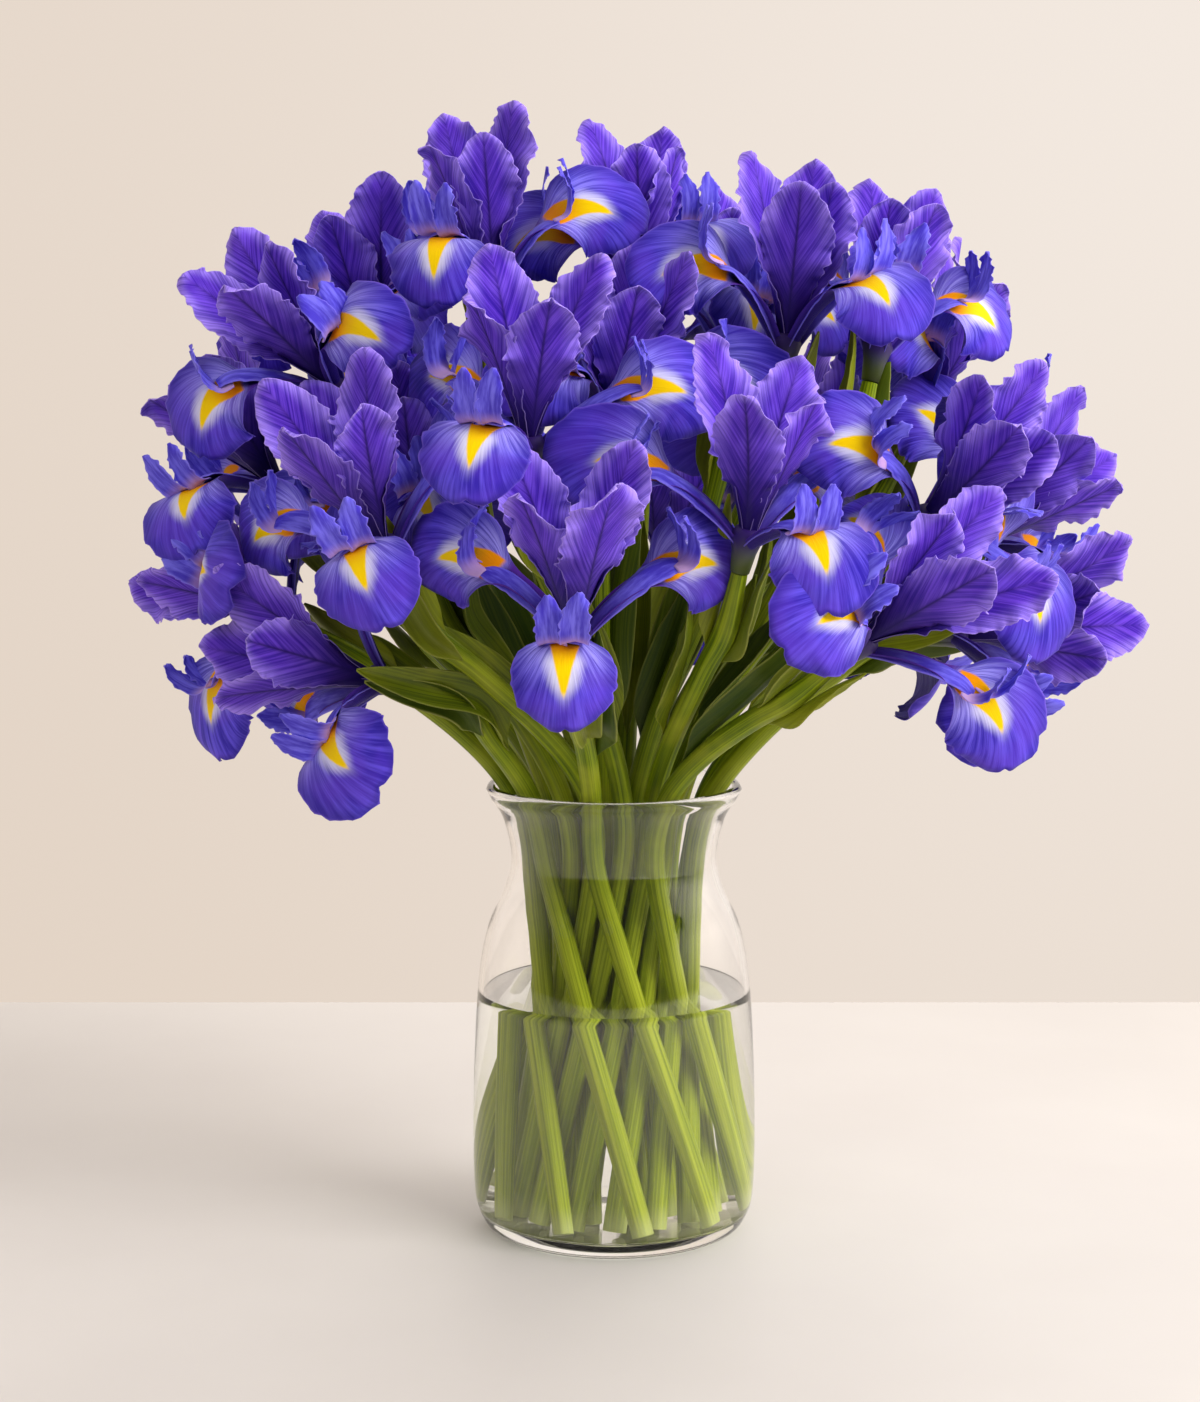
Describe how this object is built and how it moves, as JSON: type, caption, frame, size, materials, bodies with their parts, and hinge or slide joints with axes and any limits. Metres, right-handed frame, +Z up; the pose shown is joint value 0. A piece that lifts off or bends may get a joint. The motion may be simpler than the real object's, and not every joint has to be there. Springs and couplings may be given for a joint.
{
  "type": "irises in a vase",
  "caption": "Bunch of blue-violet irises with ruffled petals and yellow signals, standing in a waisted clear glass vase part filled with water.",
  "frame": {"origin": "centre of the vase's flat foot, on the surface that it stands on", "axes": "+Z up along the vase's axis; -Y towards the front, where the nearest flower hangs over the rim; +X to the right as seen from the front"},
  "size_m": [0.4293, 0.3707, 0.4642],
  "materials": {
    "clear_glass": "clear, polished",
    "clear_water": "clear liquid",
    "stem_green": "living, satin",
    "iris_violet": "velvety petal"
  },
  "bodies": {
    "root": {"vase": "clear_glass", "water": "clear_water", "stem_01": "stem_green", "stem_02": "stem_green", "stem_03": "stem_green", "stem_04": "stem_green", "stem_05": "stem_green", "stem_06": "stem_green", "stem_07": "stem_green", "stem_08": "stem_green", "stem_09": "stem_green", "stem_10": "stem_green", "stem_11": "stem_green", "stem_12": "stem_green", "stem_13": "stem_green", "stem_14": "stem_green", "stem_15": "stem_green", "stem_16": "stem_green", "stem_17": "stem_green", "stem_18": "stem_green", "stem_19": "stem_green", "stem_20": "stem_green", "stem_21": "stem_green", "stem_22": "stem_green", "stem_23": "stem_green", "stem_24": "stem_green", "stem_25": "stem_green", "stem_26": "stem_green", "stem_27": "stem_green", "stem_28": "stem_green", "flower_01": "iris_violet", "flower_02": "iris_violet", "flower_03": "iris_violet", "flower_04": "iris_violet", "flower_05": "iris_violet", "flower_06": "iris_violet", "flower_07": "iris_violet", "flower_08": "iris_violet", "flower_09": "iris_violet", "flower_10": "iris_violet", "flower_11": "iris_violet", "flower_12": "iris_violet", "flower_13": "iris_violet", "flower_14": "iris_violet", "flower_15": "iris_violet", "flower_16": "iris_violet", "flower_17": "iris_violet", "flower_18": "iris_violet", "flower_19": "iris_violet", "flower_20": "iris_violet", "flower_21": "iris_violet", "flower_22": "iris_violet", "flower_23": "iris_violet", "flower_24": "iris_violet", "flower_25": "iris_violet", "flower_26": "iris_violet", "flower_27": "iris_violet", "flower_28": "iris_violet"}
  },
  "joints": []
}
